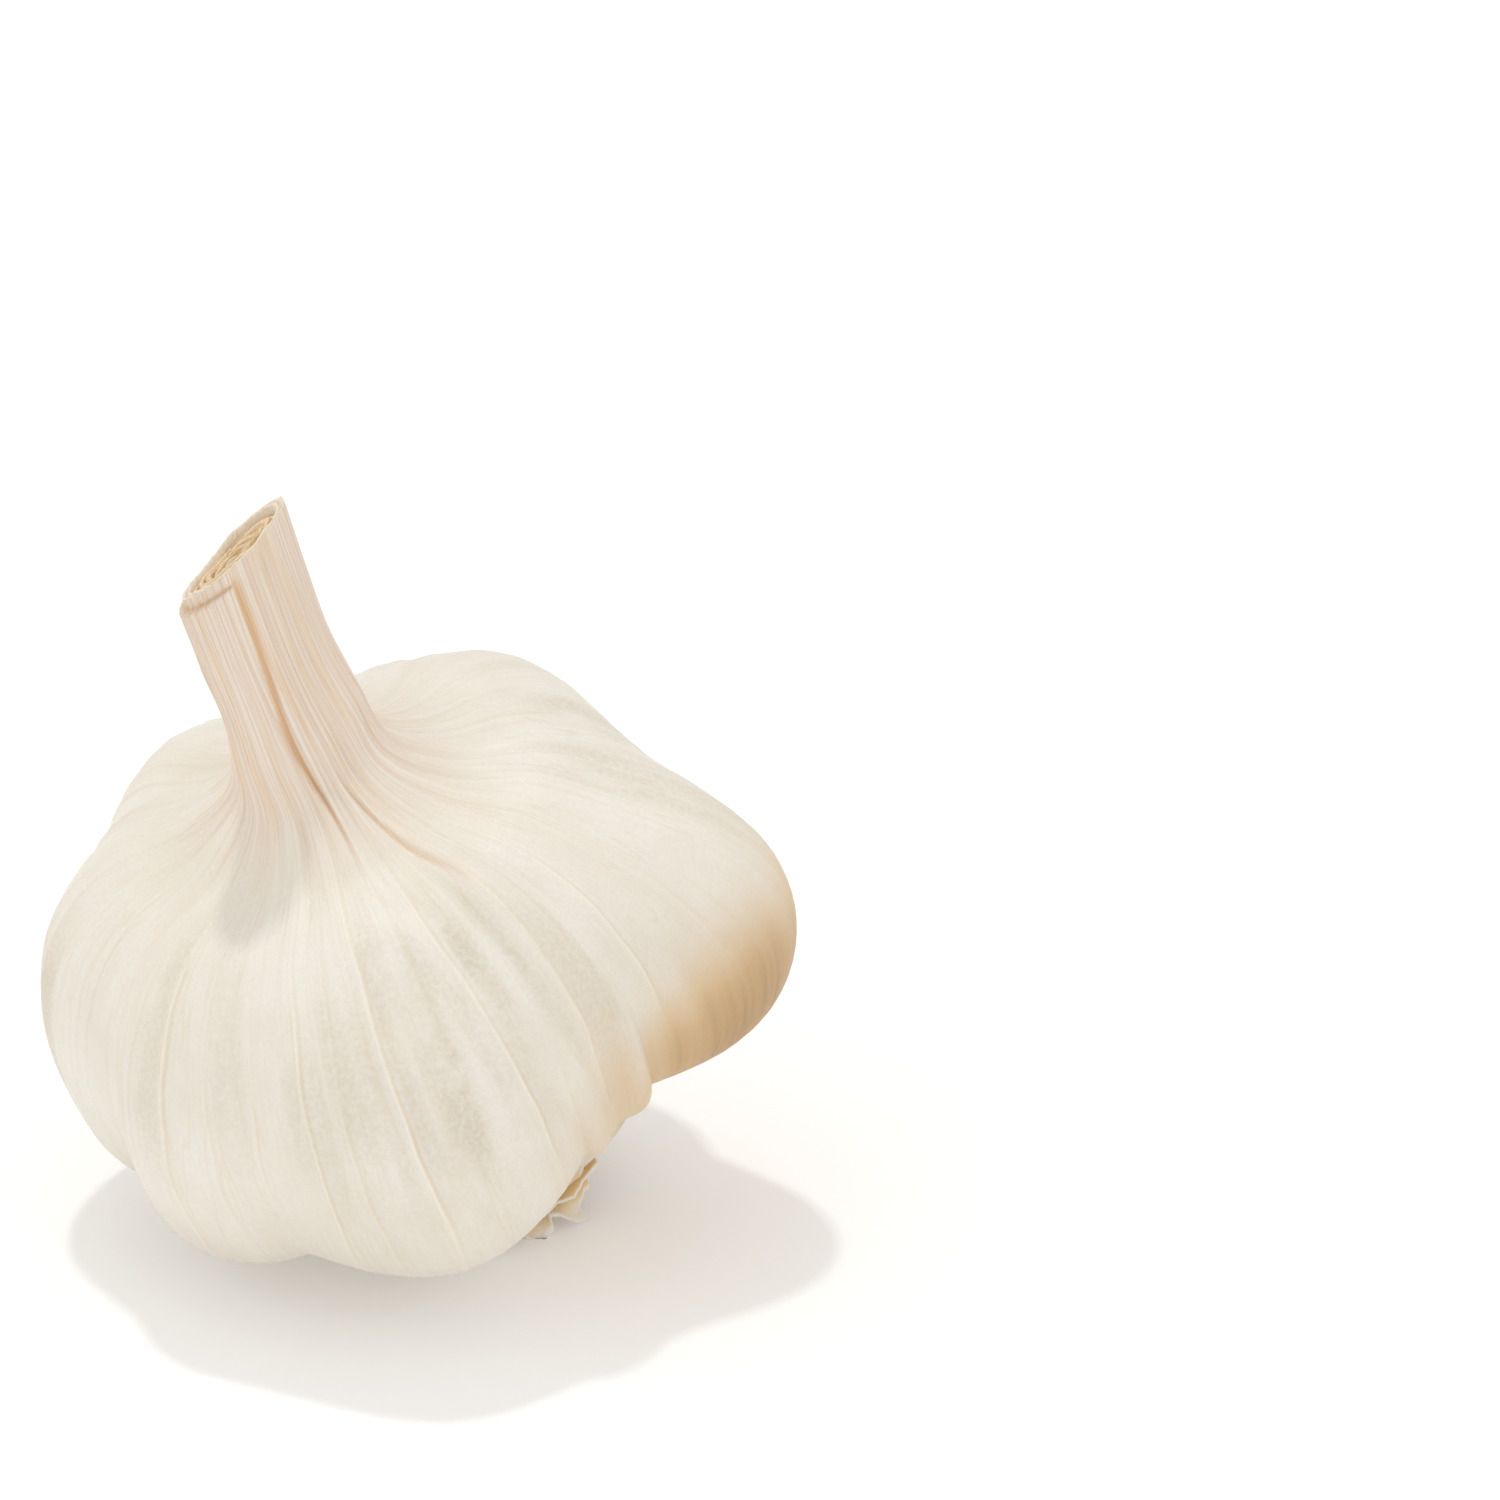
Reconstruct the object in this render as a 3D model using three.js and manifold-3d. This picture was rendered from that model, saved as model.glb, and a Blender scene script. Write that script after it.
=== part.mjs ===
// A whole garlic bulb with a short cut stem, lying tilted on its lower cloves.
// Millimetres, +Z up. The viewer looks along +Y, with +X to the right.
// The bulb's own axis runs from the roots to the neck. Round that axis, azimuth 0 faces the
// viewer, 90 degrees is to the viewer's right and -90 degrees to the left.

import * as THREE from 'three';
import { mergeVertices } from 'three/addons/utils/BufferGeometryUtils.js';
import Module from 'manifold-3d';

const wasm = await Module();
wasm.setup();

// Outline from the root hollow to the cut end: radius and height along the bulb's axis
const PROFILE = [
  [6.2, 3.6], [8.7, 0.7], [13.0, -0.9], [16.8, 1.9], [21.6, 6.9], [28.0, 11.2], [29.9, 18.0],
  [29.1, 25.3], [25.2, 32.5], [19.0, 37.6], [11.5, 39.3], [6.9, 42.2], [5.8, 47.0], [4.9, 52.2],
  [4.8, 57.5], [4.9, 63.0],
];
const NECK = 10;
const CUT = 15;

// Cloves: azimuth of the groove before each, strength of that groove, and how far the
// clove swells at its foot, belly and shoulder
const CLOVES = [
  [-160, 1.0, 0.0, 0.0, 0.1],
  [-114, 0.9, 0.8, -0.5, 0.6],
  [-60, 1.0, 0.4, -0.6, -0.3],
  [-21, 0.6, 0.8, 1.6, 0.0],
  [34, 0.8, -2.6, -2.8, 0.2],
  [53, 1.0, 0.6, 5.0, -0.4],
  [117, 0.7, 0.0, -1.3, 0.5],
  [165, 0.6, 0.0, 0.0, -1.9],
];
const GROOVE_LOW = 3.5;
const GROOVE_MIDDLE = 3.4;
const GROOVE_TOP = 1.3;

// Raised veins of the outer skin: the azimuths in view, and an even rule for the far side
const VEINS_IN_VIEW = [-84, -75, -66, -56, -47, -38, -29, -20, -10, -2, 7, 34, 41, 48, 58, 69, 79];
const VEINS_BEHIND = 15;
const VEIN_HALF_WIDTH = 2.2;
const VEIN_HEIGHT = 0.3;

// Stem: flattened and slightly bent, with a slanting cut
const STEM_FLAT = 0.4;
const STEM_FLAT_AZIMUTH = 47;
const STEM_LEAN = [-0.9, 1.0];
const STEM_BEND = [-2.1, -0.6];
const CUT_SLOPE = 0.54;
const CUT_AZIMUTH = 56;
const STEM_RUN = 27;

// Outer sheath: a strip round the front and left of the stem, ending below the cut
const STRIP_FROM = -104;
const STRIP_TO = 15;
const STRIP_HEIGHT = 0.6;
const STRIP_END_LEFT = 14.9;
const STRIP_END_RIGHT = 14.65;
const SLIT_DEPTH = 0.5;

// Socket in the cut end and the dried inner sheaths standing in it
const SHEATH_WALL = 0.8;
const SOCKET_DEPTH = 3.2;
const CORE_GAP = 0.35;
const CORE_DROP = 0.7;

// Root plate in the hollow under the bulb, with trimmed roots
const PLATE_RADIUS = 5.7;
const PLATE_TOP = 3.2;
const PLATE_BOTTOM = 1.2;
const ROOT_STUBS = 28;
const ROOT_RADIUS = 0.55;
const ROOT_LENGTH = 5.8;

// Torn skin round the root hollow
const FLAKES = 12;
const FLAKE_RING = 8.2;
const FLAKE_THICKNESS = 0.7;
const LOW_AZIMUTH = 45;

// The root end sits off the axis, towards this azimuth
const ROOT_SHIFT = 3.4;
const ROOT_AZIMUTH = 38;

// Tilt of the bulb's axis, and how much is flattened where it rests
const AXIS = [-0.243, -0.243, 0.9];
const REST_DEPTH = 1.1;

const DEGREE = Math.PI / 180;

function clamp(x, low, high) {
  return Math.min(Math.max(x, low), high);
}

function smooth(from, to, x) {
  const t = clamp((x - from) / (to - from), 0, 1);
  return t * t * (3 - 2 * t);
}

// Rises from one station to the next and falls again to the last
function hill(from, top, to, x) {
  return smooth(from, top, x) * smooth(to, top, x);
}

let seed = 7;
function random() {
  seed = (seed * 16807) % 2147483647;
  return seed / 2147483647;
}

// Point of the outline at a station, with the unit normal that points out of the bulb
function outline(station) {
  const i = Math.min(Math.floor(station), CUT - 1);
  const f = station - i;
  const at = (k) => {
    if (k < 0) return PROFILE[0].map((v, n) => 2 * v - PROFILE[1][n]);
    if (k > CUT) return PROFILE[CUT].map((v, n) => 2 * v - PROFILE[CUT - 1][n]);
    return PROFILE[k];
  };
  const [a, b, c, d] = [at(i - 1), at(i), at(i + 1), at(i + 2)];
  const value = (n) => 0.5 * (2 * b[n] + (c[n] - a[n]) * f
    + (2 * a[n] - 5 * b[n] + 4 * c[n] - d[n]) * f * f
    + (3 * b[n] - a[n] - 3 * c[n] + d[n]) * f * f * f);
  const slope = (n) => 0.5 * (c[n] - a[n]
    + 2 * (2 * a[n] - 5 * b[n] + 4 * c[n] - d[n]) * f
    + 3 * (3 * b[n] - a[n] - 3 * c[n] + d[n]) * f * f);
  const length = Math.hypot(slope(0), slope(1));
  return { r: value(0), h: value(1), nr: slope(1) / length, nh: -slope(0) / length };
}

// How far the skin stands out of the plain outline at an azimuth, from cloves and grooves
function cloveRelief(azimuth, station) {
  const start = CLOVES[0][0];
  const around = ((azimuth - start) % 360 + 360) % 360 + start;
  let i = CLOVES.length - 1;
  while (CLOVES[i][0] > around) i -= 1;
  const from = CLOVES[i];
  const next = CLOVES[(i + 1) % CLOVES.length];
  const end = i + 1 < CLOVES.length ? next[0] : next[0] + 360;
  const u = (around - from[0]) / (end - from[0]) * 2 - 1;
  const strength = from[1] + (next[1] - from[1]) * (u + 1) / 2;
  const sharp = 1 - u * u;
  const soft = 0.5 + 0.5 * Math.cos(Math.PI * u);
  const low = hill(1, 3.6, 6, station);
  const middle = hill(3.6, 6, 8.6, station);
  const top = hill(6, 8.6, 10.8, station);
  const sharpness = smooth(8, 4.5, station);
  const bump = soft + (sharp - soft) * sharpness;
  const groove = GROOVE_LOW * low + GROOVE_MIDDLE * middle + GROOVE_TOP * top;
  return soft * (from[2] * low + from[3] * middle + from[4] * top)
    - groove * strength * (1 - bump);
}

// Moves a point of the neck and stem: flattened section, bend and slanting cut
function bendStem(x, y, h, station) {
  const t = clamp((station - NECK) / (CUT - NECK), 0, 1);
  const flat = STEM_FLAT * smooth(0, 0.8, t);
  const turn = STEM_FLAT_AZIMUTH * DEGREE;
  const across = (x * Math.cos(turn) + y * Math.sin(turn)) * (1 - flat);
  const along = (y * Math.cos(turn) - x * Math.sin(turn)) * (1 + 0.55 * flat);
  const px = across * Math.cos(turn) - along * Math.sin(turn);
  const py = across * Math.sin(turn) + along * Math.cos(turn);
  const cut = CUT_AZIMUTH * DEGREE;
  const rise = CUT_SLOPE * (px * Math.cos(cut) + py * Math.sin(cut)) * smooth(0.45, 1, t);
  return new THREE.Vector3(
    px + STEM_LEAN[0] * t + STEM_BEND[0] * t * t,
    py + STEM_LEAN[1] * t + STEM_BEND[1] * t * t,
    h + rise,
  );
}

const rootOffset = new THREE.Vector3(
  ROOT_SHIFT * Math.cos(ROOT_AZIMUTH * DEGREE),
  ROOT_SHIFT * Math.sin(ROOT_AZIMUTH * DEGREE),
  0,
);

// Skin point at a column's azimuth and a station, pushed out by the given relief
function skinPoint(azimuth, station, relief) {
  const p = outline(station);
  const d = cloveRelief(azimuth, station) + relief;
  const r = p.r + d * p.nr;
  const a = azimuth * DEGREE;
  const point = bendStem(r * Math.cos(a), r * Math.sin(a), p.h + d * p.nh, station);
  return point.addScaledVector(rootOffset, smooth(3.4, 0.4, station));
}

// Closed solid from rings of points, each ring one turn round, with a point at both ends
function ringSolid(first, rings, last) {
  const n = rings[0].length;
  const points = [first, ...rings.flat(), last];
  const faces = [];
  for (let k = 0; k < n; k += 1) {
    const m = (k + 1) % n;
    faces.push(0, 1 + m, 1 + k);
    for (let i = 0; i + 1 < rings.length; i += 1) {
      const a = 1 + i * n;
      const b = a + n;
      faces.push(a + k, a + m, b + m, a + k, b + m, b + k);
    }
    const a = 1 + (rings.length - 1) * n;
    faces.push(a + k, a + m, points.length - 1);
  }
  const geometry = new THREE.BufferGeometry().setFromPoints(points);
  geometry.setIndex(faces);
  return geometry;
}

function toSolid(geometry) {
  const bare = geometry.clone();
  bare.deleteAttribute('normal');
  bare.deleteAttribute('uv');
  const merged = mergeVertices(bare, 1e-4);
  return new wasm.Manifold(new wasm.Mesh({
    numProp: 3,
    vertProperties: new Float32Array(merged.attributes.position.array),
    triVerts: new Uint32Array(merged.index.array),
  }));
}

function toGeometry(solid) {
  const mesh = solid.getMesh();
  const geometry = new THREE.BufferGeometry();
  geometry.setAttribute('position', new THREE.BufferAttribute(mesh.vertProperties, 3));
  geometry.setIndex(new THREE.BufferAttribute(mesh.triVerts, 1));
  return geometry;
}

// Columns of the skin: three to a vein, with a slit beside the sheath strip
const columns = [];
function addVein(azimuth) {
  columns.push({ azimuth: azimuth - VEIN_HALF_WIDTH, vein: 0, slit: 0 });
  columns.push({ azimuth, vein: 1, slit: 0 });
  columns.push({ azimuth: azimuth + VEIN_HALF_WIDTH, vein: 0, slit: 0 });
}
VEINS_IN_VIEW.forEach(addVein);
const lastInView = VEINS_IN_VIEW[VEINS_IN_VIEW.length - 1];
const behind = 360 + VEINS_IN_VIEW[0] - lastInView;
for (let k = 1; k <= VEINS_BEHIND; k += 1) {
  addVein(lastInView + behind * (k + 0.3 * (random() - 0.5)) / (VEINS_BEHIND + 1));
}
columns.push({ azimuth: STRIP_TO, vein: 0, slit: 0 });
columns.push({ azimuth: STRIP_TO + 4, vein: 0, slit: 1 });
columns.push({ azimuth: STRIP_TO + 8, vein: 0, slit: 0 });
columns.push({ azimuth: STRIP_TO + 12, vein: 0.6, slit: 0 });
columns.sort((a, b) => a.azimuth - b.azimuth);

// Azimuth between -180 and 180 degrees
function turned(azimuth) {
  return azimuth > 180 ? azimuth - 360 : azimuth;
}

// Station where the sheath strip is cut off, lowest at its right edge
function stripEnd(azimuth) {
  const az = turned(azimuth);
  const t = clamp((az - STRIP_FROM) / (STRIP_TO - STRIP_FROM), 0, 1) * smooth(170, 40, az);
  return STRIP_END_LEFT + (STRIP_END_RIGHT - STRIP_END_LEFT) * t;
}

function columnRelief(column, station) {
  const az = turned(column.azimuth);
  const vein = VEIN_HEIGHT * column.vein * hill(1.6, 5, 14, station) * (station < NECK ? 1 : 0.8);
  const onStrip = az > STRIP_FROM && az <= STRIP_TO ? 1 : 0;
  const raised = smooth(9.4, 11.4, station) * (station > stripEnd(column.azimuth) + 1e-6 ? 0 : 1);
  const strip = STRIP_HEIGHT * onStrip * raised;
  const slit = SLIT_DEPTH * column.slit * smooth(9, 10.6, station) * smooth(15, 14.2, station);
  return vein + strip - slit;
}

// Stations of the rows from the root hollow to the rim of the cut end
const stations = [];
for (let s = 0; s < 3.9; s += 0.5) stations.push(s);
for (let s = 4; s < 9.9; s += 0.4) stations.push(s);
stations.push(10, 10.4, 10.8, 11.3, 12, 12.8, 13.6);

// A ring inside the stem, a given distance in from its plain skin. It drops below the cut
// along the leaning stem, so the wall keeps its thickness.
function innerRing(station, inset, drop) {
  const t = 1 - drop / STEM_RUN;
  return columns.map((column) => {
    const p = outline(station);
    const a = column.azimuth * DEGREE;
    const r = p.r - inset;
    const point = bendStem(r * Math.cos(a), r * Math.sin(a), p.h, station);
    point.x += STEM_LEAN[0] * (t - 1) + STEM_BEND[0] * (t * t - 1);
    point.y += STEM_LEAN[1] * (t - 1) + STEM_BEND[1] * (t * t - 1);
    point.z -= drop;
    return point;
  });
}

function middleOf(ring) {
  const sum = ring.reduce((total, p) => total.add(p), new THREE.Vector3());
  return sum.divideScalar(ring.length);
}

// Bulb, neck and outer sheath of the stem, grown as one
function bulbSolid() {
  const skinAt = (column, s) => skinPoint(column.azimuth, s, columnRelief(column, s));
  const rings = stations.map((s) => columns.map((c) => skinAt(c, s)));
  rings.push(columns.map((c) => skinAt(c, stripEnd(c.azimuth))));
  rings.push(columns.map((c) => skinAt(c, stripEnd(c.azimuth) + 0.04)));
  rings.push(columns.map((c) => skinAt(c, CUT)));
  rings.push(innerRing(CUT, SHEATH_WALL, 0.3));
  rings.push(innerRing(CUT, SHEATH_WALL + 0.1, SOCKET_DEPTH));
  const rootCentre = new THREE.Vector3(0, 0, PROFILE[0][1]).add(rootOffset);
  const socketCentre = middleOf(rings[rings.length - 1]);
  return toSolid(ringSolid(rootCentre, rings, socketCentre));
}

// A torn flake of skin, pointing out and down from the rim of the root hollow; the flakes
// on the low side of the tilted bulb are shorter
function flakeSolid(azimuth) {
  const width = 1.8 + 1.4 * random();
  const lowSide = Math.max(0, Math.cos(azimuth + LOW_AZIMUTH * DEGREE));
  const length = (4.2 + 1.8 * random()) * (1 - 0.75 * lowSide);
  const tip = (random() - 0.5) * width;
  const shape = new THREE.Shape();
  shape.moveTo(-width, -2.4);
  shape.lineTo(width, -2.4);
  shape.lineTo(width * 0.9, length * 0.35);
  shape.lineTo(width * 0.45, length * 0.95);
  shape.lineTo(width * 0.2, length * 0.55);
  shape.lineTo(tip * 0.6 - width * 0.2, length * 1.15);
  shape.lineTo(-width * 0.75, length * 0.4);
  const flake = new THREE.ExtrudeGeometry(shape, { depth: FLAKE_THICKNESS, bevelEnabled: false });
  flake.translate(0, 0, -FLAKE_THICKNESS / 2);
  flake.rotateX(-(40 + 22 * random()) * DEGREE);
  flake.rotateZ(-Math.PI / 2);
  flake.translate(FLAKE_RING, 0, 0.9);
  flake.rotateZ(azimuth);
  flake.translate(rootOffset.x, rootOffset.y, 0);
  return toSolid(flake);
}

// Straw-coloured inner sheaths: their tops step down in two rings towards the middle
function coreGeometry() {
  const inset = SHEATH_WALL + CORE_GAP;
  const rings = [
    innerRing(CUT, inset + 0.1, SOCKET_DEPTH - CORE_GAP),
    innerRing(CUT, inset, CORE_DROP),
    innerRing(CUT, inset + 0.7, CORE_DROP - 0.1),
    innerRing(CUT, inset + 0.9, CORE_DROP + 0.9),
    innerRing(CUT, inset + 1.2, CORE_DROP + 0.2),
    innerRing(CUT, inset + 1.9, CORE_DROP + 0.1),
    innerRing(CUT, inset + 2.1, CORE_DROP + 0.9),
    innerRing(CUT, inset + 2.4, CORE_DROP + 0.3),
  ].map((ring) => ring.filter((point, k) => k % 2 === 0));
  return ringSolid(middleOf(rings[0]), rings, middleOf(rings[rings.length - 1]));
}

// Root plate with a spiral of trimmed roots sunk into it
function rootSolid() {
  const edge = [
    [0, PLATE_BOTTOM], [PLATE_RADIUS * 0.8, PLATE_BOTTOM], [PLATE_RADIUS, PLATE_BOTTOM + 0.7],
    [PLATE_RADIUS, PLATE_TOP - 0.2], [PLATE_RADIUS - 0.3, PLATE_TOP], [0, PLATE_TOP],
  ].map(([r, h]) => new THREE.Vector2(r, h));
  const disc = new THREE.LatheGeometry(edge, 32);
  disc.rotateX(Math.PI / 2);
  let solid = toSolid(disc);
  for (let k = 0; k < ROOT_STUBS; k += 1) {
    const r = PLATE_RADIUS * 0.8 * Math.sqrt((k + 0.5) / ROOT_STUBS);
    const a = k * 2.39996;
    const length = ROOT_LENGTH * (0.9 + 0.2 * random());
    const stub = new THREE.CylinderGeometry(ROOT_RADIUS, ROOT_RADIUS * 0.7, length, 6);
    stub.rotateX(Math.PI / 2);
    stub.rotateY(0.2 * (random() - 0.5) - 0.04 * r);
    stub.translate(r, 0, PLATE_BOTTOM + 0.8 - length / 2);
    stub.rotateZ(a);
    solid = solid.add(toSolid(stub));
  }
  return solid.translate(rootOffset.x, rootOffset.y, 0);
}

// Tilts the bulb into its lying position
const up = new THREE.Vector3(...AXIS).normalize();
const front = new THREE.Vector3(0, -1, 0).addScaledVector(up, up.y).normalize();
const side = new THREE.Vector3().crossVectors(up, front);
const tilt = new THREE.Matrix4().makeBasis(front, side, up);

let bulb = bulbSolid();
const box = new THREE.Box3().setFromBufferAttribute(
  toGeometry(bulb).applyMatrix4(tilt).getAttribute('position'),
);
for (let k = 0; k < FLAKES; k += 1) {
  bulb = bulb.add(flakeSolid((k + 0.35 * random()) * 2 * Math.PI / FLAKES));
}
const settle = new THREE.Vector3(
  -(box.min.x + box.max.x) / 2,
  -(box.min.y + box.max.y) / 2,
  -(box.min.z + REST_DEPTH),
);

// It rests on a flat spot under two cloves and on the tips of its roots
const ground = toSolid(new THREE.BoxGeometry(200, 200, 20).translate(0, 0, -10));
function rest(geometry) {
  geometry.applyMatrix4(tilt).translate(settle.x, settle.y, settle.z);
  return toGeometry(toSolid(geometry).subtract(ground));
}

const skin = new THREE.MeshStandardMaterial({ color: 0xf1e8d8, roughness: 0.6, metalness: 0 });
const straw = new THREE.MeshStandardMaterial({ color: 0xdcc193, roughness: 0.9, metalness: 0 });
const rootTan = new THREE.MeshStandardMaterial({ color: 0xb08a56, roughness: 0.95, metalness: 0 });

function place(name, geometry, material) {
  const mesh = new THREE.Mesh(geometry, material);
  mesh.name = name;
  return mesh;
}

const group = new THREE.Group();
group.add(place('wrapped_bulb', rest(toGeometry(bulb)), skin));
group.add(place('inner_sheaths', rest(coreGeometry()), straw));
group.add(place('root_plate', rest(toGeometry(rootSolid())), rootTan));

export default group;
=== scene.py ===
# %% [markdown]
# # A garlic bulb
# We build one whole garlic bulb that lies tilted on its lower cloves: papery skin over the
# cloves, a short stem of dried leaf sheaths with a slanting cut, and a root plate below.
# Plain solids of the same bulb are loaded first. Every finished piece takes the place of one
# of them and keeps its form, so the sizes stay true.

import bpy
import bmesh
import math
import random
from bisect import bisect
from mathutils import Matrix, Vector, noise


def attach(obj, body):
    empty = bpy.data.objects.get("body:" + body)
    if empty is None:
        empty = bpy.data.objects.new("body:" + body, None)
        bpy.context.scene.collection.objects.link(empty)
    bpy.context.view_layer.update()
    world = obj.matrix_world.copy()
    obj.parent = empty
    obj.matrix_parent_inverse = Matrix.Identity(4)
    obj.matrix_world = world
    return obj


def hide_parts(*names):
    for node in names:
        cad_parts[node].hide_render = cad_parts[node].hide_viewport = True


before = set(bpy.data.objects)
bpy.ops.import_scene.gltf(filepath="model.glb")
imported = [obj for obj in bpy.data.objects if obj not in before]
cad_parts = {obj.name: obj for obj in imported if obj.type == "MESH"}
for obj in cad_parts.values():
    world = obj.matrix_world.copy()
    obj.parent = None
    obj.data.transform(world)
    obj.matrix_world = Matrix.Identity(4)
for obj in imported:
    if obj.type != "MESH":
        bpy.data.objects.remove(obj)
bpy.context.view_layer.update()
print("nodes:", sorted(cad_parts))

# %% [markdown]
# The bulb has its own axis, from the roots to the neck, and everything that grew follows it.
# We could model it as it lies, but then every measure would be slanted. So we shape each
# piece upright, in millimetres, and one matrix lays it down in its place. Azimuth 0 faces
# the viewer and 90 degrees is on the right.

# %% The lying pose
AXIS = Vector((-0.243, -0.243, 0.9)).normalized()
PLACE = Vector((2.38, 5.48, 4.52))
MILLIMETRE = 0.001

front = (Vector((0, -1, 0)) + AXIS * AXIS.y).normalized()
side = AXIS.cross(front)
TILT = Matrix((front, side, AXIS)).transposed()
print("tilt from upright:", round(math.degrees(AXIS.angle(Vector((0, 0, 1)))), 1), "degrees")


def lay_down(point):
    """Millimetres on the upright bulb to metres in the lying pose, on or above the ground."""
    placed = (TILT @ point + PLACE) * MILLIMETRE
    placed.z = max(placed.z, 0.0)
    return placed


# %% [markdown]
# Seen from the side, a bulb is one smooth curve from the root hollow over the belly and the
# neck to the cut end. A few points with a curve through them are easier to adjust than a
# long list. We count along the curve in stations: 0 is the edge of the root hollow, 6 the
# widest part, 10 the neck and 15 the cut.

# %% The outline
# Radius and height of each station, in millimetres
OUTLINE = [
    (6.2, 3.6), (8.7, 0.7), (13.0, -0.9), (16.8, 1.9), (21.6, 6.9), (28.0, 11.2),
    (29.9, 18.0), (29.1, 25.3), (25.2, 32.5), (19.0, 37.6), (11.5, 39.3), (6.9, 42.2),
    (5.8, 47.0), (4.9, 52.2), (4.8, 57.5), (4.9, 63.0),
]
NECK = 10
CUT = 15


def smooth(start, end, x):
    """Rises smoothly from 0 at start to 1 at end."""
    t = min(max((x - start) / (end - start), 0.0), 1.0)
    return t * t * (3 - 2 * t)


def hill(start, top, end, x):
    """Rises from start to top and falls again to end."""
    return smooth(start, top, x) * smooth(end, top, x)


def outline(station):
    """Radius and height at a station, with the direction that points out of the bulb."""
    i = min(int(station), CUT - 1)
    f = station - i
    a, b, c, d = (OUTLINE[min(max(k, 0), CUT)] for k in (i - 1, i, i + 1, i + 2))
    if i == 0:
        a = tuple(2 * b[n] - c[n] for n in (0, 1))
    if i == CUT - 1:
        d = tuple(2 * c[n] - b[n] for n in (0, 1))
    value = []
    slope = []
    for n in (0, 1):
        linear = c[n] - a[n]
        square = 2 * a[n] - 5 * b[n] + 4 * c[n] - d[n]
        cube = 3 * b[n] - a[n] - 3 * c[n] + d[n]
        value.append(0.5 * (2 * b[n] + linear * f + square * f ** 2 + cube * f ** 3))
        slope.append(linear + 2 * square * f + 3 * cube * f ** 2)
    length = math.hypot(*slope)
    return value[0], value[1], slope[1] / length, -slope[0] / length


print("widest radius:", max(outline(k / 10)[0] for k in range(150)), "mm")

# %% [markdown]
# The cloves push the skin out, and it dips into a groove between two cloves. We could model
# the cloves and shrink a skin onto them, but nobody sees them. So a formula gives the relief
# of the skin itself, and each row of the table is one clove: the azimuth of the groove
# before it, how strong that groove is, and how many millimetres the clove swells at its
# foot, its belly and its shoulder.

# %% The cloves under the skin
CLOVES = [
    (-160, 1.0, 0.0, 0.0, 0.1),
    (-114, 0.9, 0.8, -0.5, 0.6),
    (-60, 1.0, 0.4, -0.6, -0.3),
    (-21, 0.6, 0.8, 1.6, 0.0),
    (34, 0.8, -2.6, -2.8, 0.2),
    (53, 1.0, 0.6, 5.0, -0.4),
    (117, 0.7, 0.0, -1.3, 0.5),
    (165, 0.6, 0.0, 0.0, -1.9),
]
# Stations where the foot, the belly and the shoulder start, are fullest and end
ZONES = [(1, 3.6, 6), (3.6, 6, 8.6), (6, 8.6, 10.8)]
# Depth of a full groove in each zone, in millimetres
GROOVE_DEPTHS = (3.5, 3.4, 1.3)
# Where the skin lies closer: azimuth, half width, stations of start, middle and end, depth
CLOSER = [(43, 9, 2.5, 5.2, 7.5, 0.4), (-72, 35, 10.2, 11.9, 13.8, 0.8)]


def clove_relief(azimuth, station):
    """How far the skin stands out of the plain outline, in millimetres."""
    turned = (azimuth - CLOVES[0][0]) % 360 + CLOVES[0][0]
    i = bisect([clove[0] for clove in CLOVES], turned) - 1
    clove = CLOVES[i]
    after = CLOVES[(i + 1) % len(CLOVES)]
    end = after[0] if after[0] > clove[0] else after[0] + 360
    u = (turned - clove[0]) / (end - clove[0]) * 2 - 1
    strength = clove[1] + (after[1] - clove[1]) * (u + 1) / 2
    soft = 0.5 + 0.5 * math.cos(math.pi * u)
    bump = soft + (1 - u * u - soft) * smooth(8, 4.5, station)
    zones = [hill(*zone, station) for zone in ZONES]
    swell = sum(clove[2 + k] * zones[k] for k in range(3))
    groove = sum(GROOVE_DEPTHS[k] * zones[k] for k in range(3))
    closer = 0.0
    for place, half_width, low, middle, high, depth in CLOSER:
        apart = (azimuth - place + 180) % 360 - 180
        share = math.exp(-((apart / half_width) ** 2))
        closer += depth * share * hill(low, middle, high, station)
    return soft * swell - groove * strength * (1 - bump) - closer


print("relief in the groove at 53 degrees:", round(clove_relief(53, 4), 2), "mm")

# %% [markdown]
# The neck turns into a flattened stem that leans a little and was cut off aslant. Bending a
# finished mesh would need a second pass, so every point is bent while it is placed. A shear
# does the slanting cut: a point near the end rises with its place across the stem.

# %% The stem's bend, and the root end beside the axis
STEM_FLAT = 0.4
STEM_WIDER = 0.55
STEM_TURN = math.radians(47)
STEM_LEAN = Vector((-0.9, 1.0, 0))
STEM_BEND = Vector((-2.1, -0.6, 0))
STEM_LENGTH = 27
CUT_SLOPE = 0.54
CUT_TURN = math.radians(56)
ROOT_TURN = math.radians(38)
ROOT_ASIDE = 3.4
ROOT_OFFSET = Vector((math.cos(ROOT_TURN), math.sin(ROOT_TURN), 0)) * ROOT_ASIDE


def bend(x, y, h, station):
    """Moves a point of the upright bulb onto the flattened, leaning stem."""
    t = min(max((station - NECK) / (CUT - NECK), 0.0), 1.0)
    flat = STEM_FLAT * smooth(0, 0.8, t)
    across = (x * math.cos(STEM_TURN) + y * math.sin(STEM_TURN)) * (1 - flat)
    along = (y * math.cos(STEM_TURN) - x * math.sin(STEM_TURN)) * (1 + STEM_WIDER * flat)
    px = across * math.cos(STEM_TURN) - along * math.sin(STEM_TURN)
    py = across * math.sin(STEM_TURN) + along * math.cos(STEM_TURN)
    lift = CUT_SLOPE * (px * math.cos(CUT_TURN) + py * math.sin(CUT_TURN)) * smooth(0.45, 1, t)
    moved = Vector((px, py, h + lift)) + STEM_LEAN * t + STEM_BEND * t * t
    return moved + ROOT_OFFSET * smooth(3.4, 0.4, station)


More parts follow.
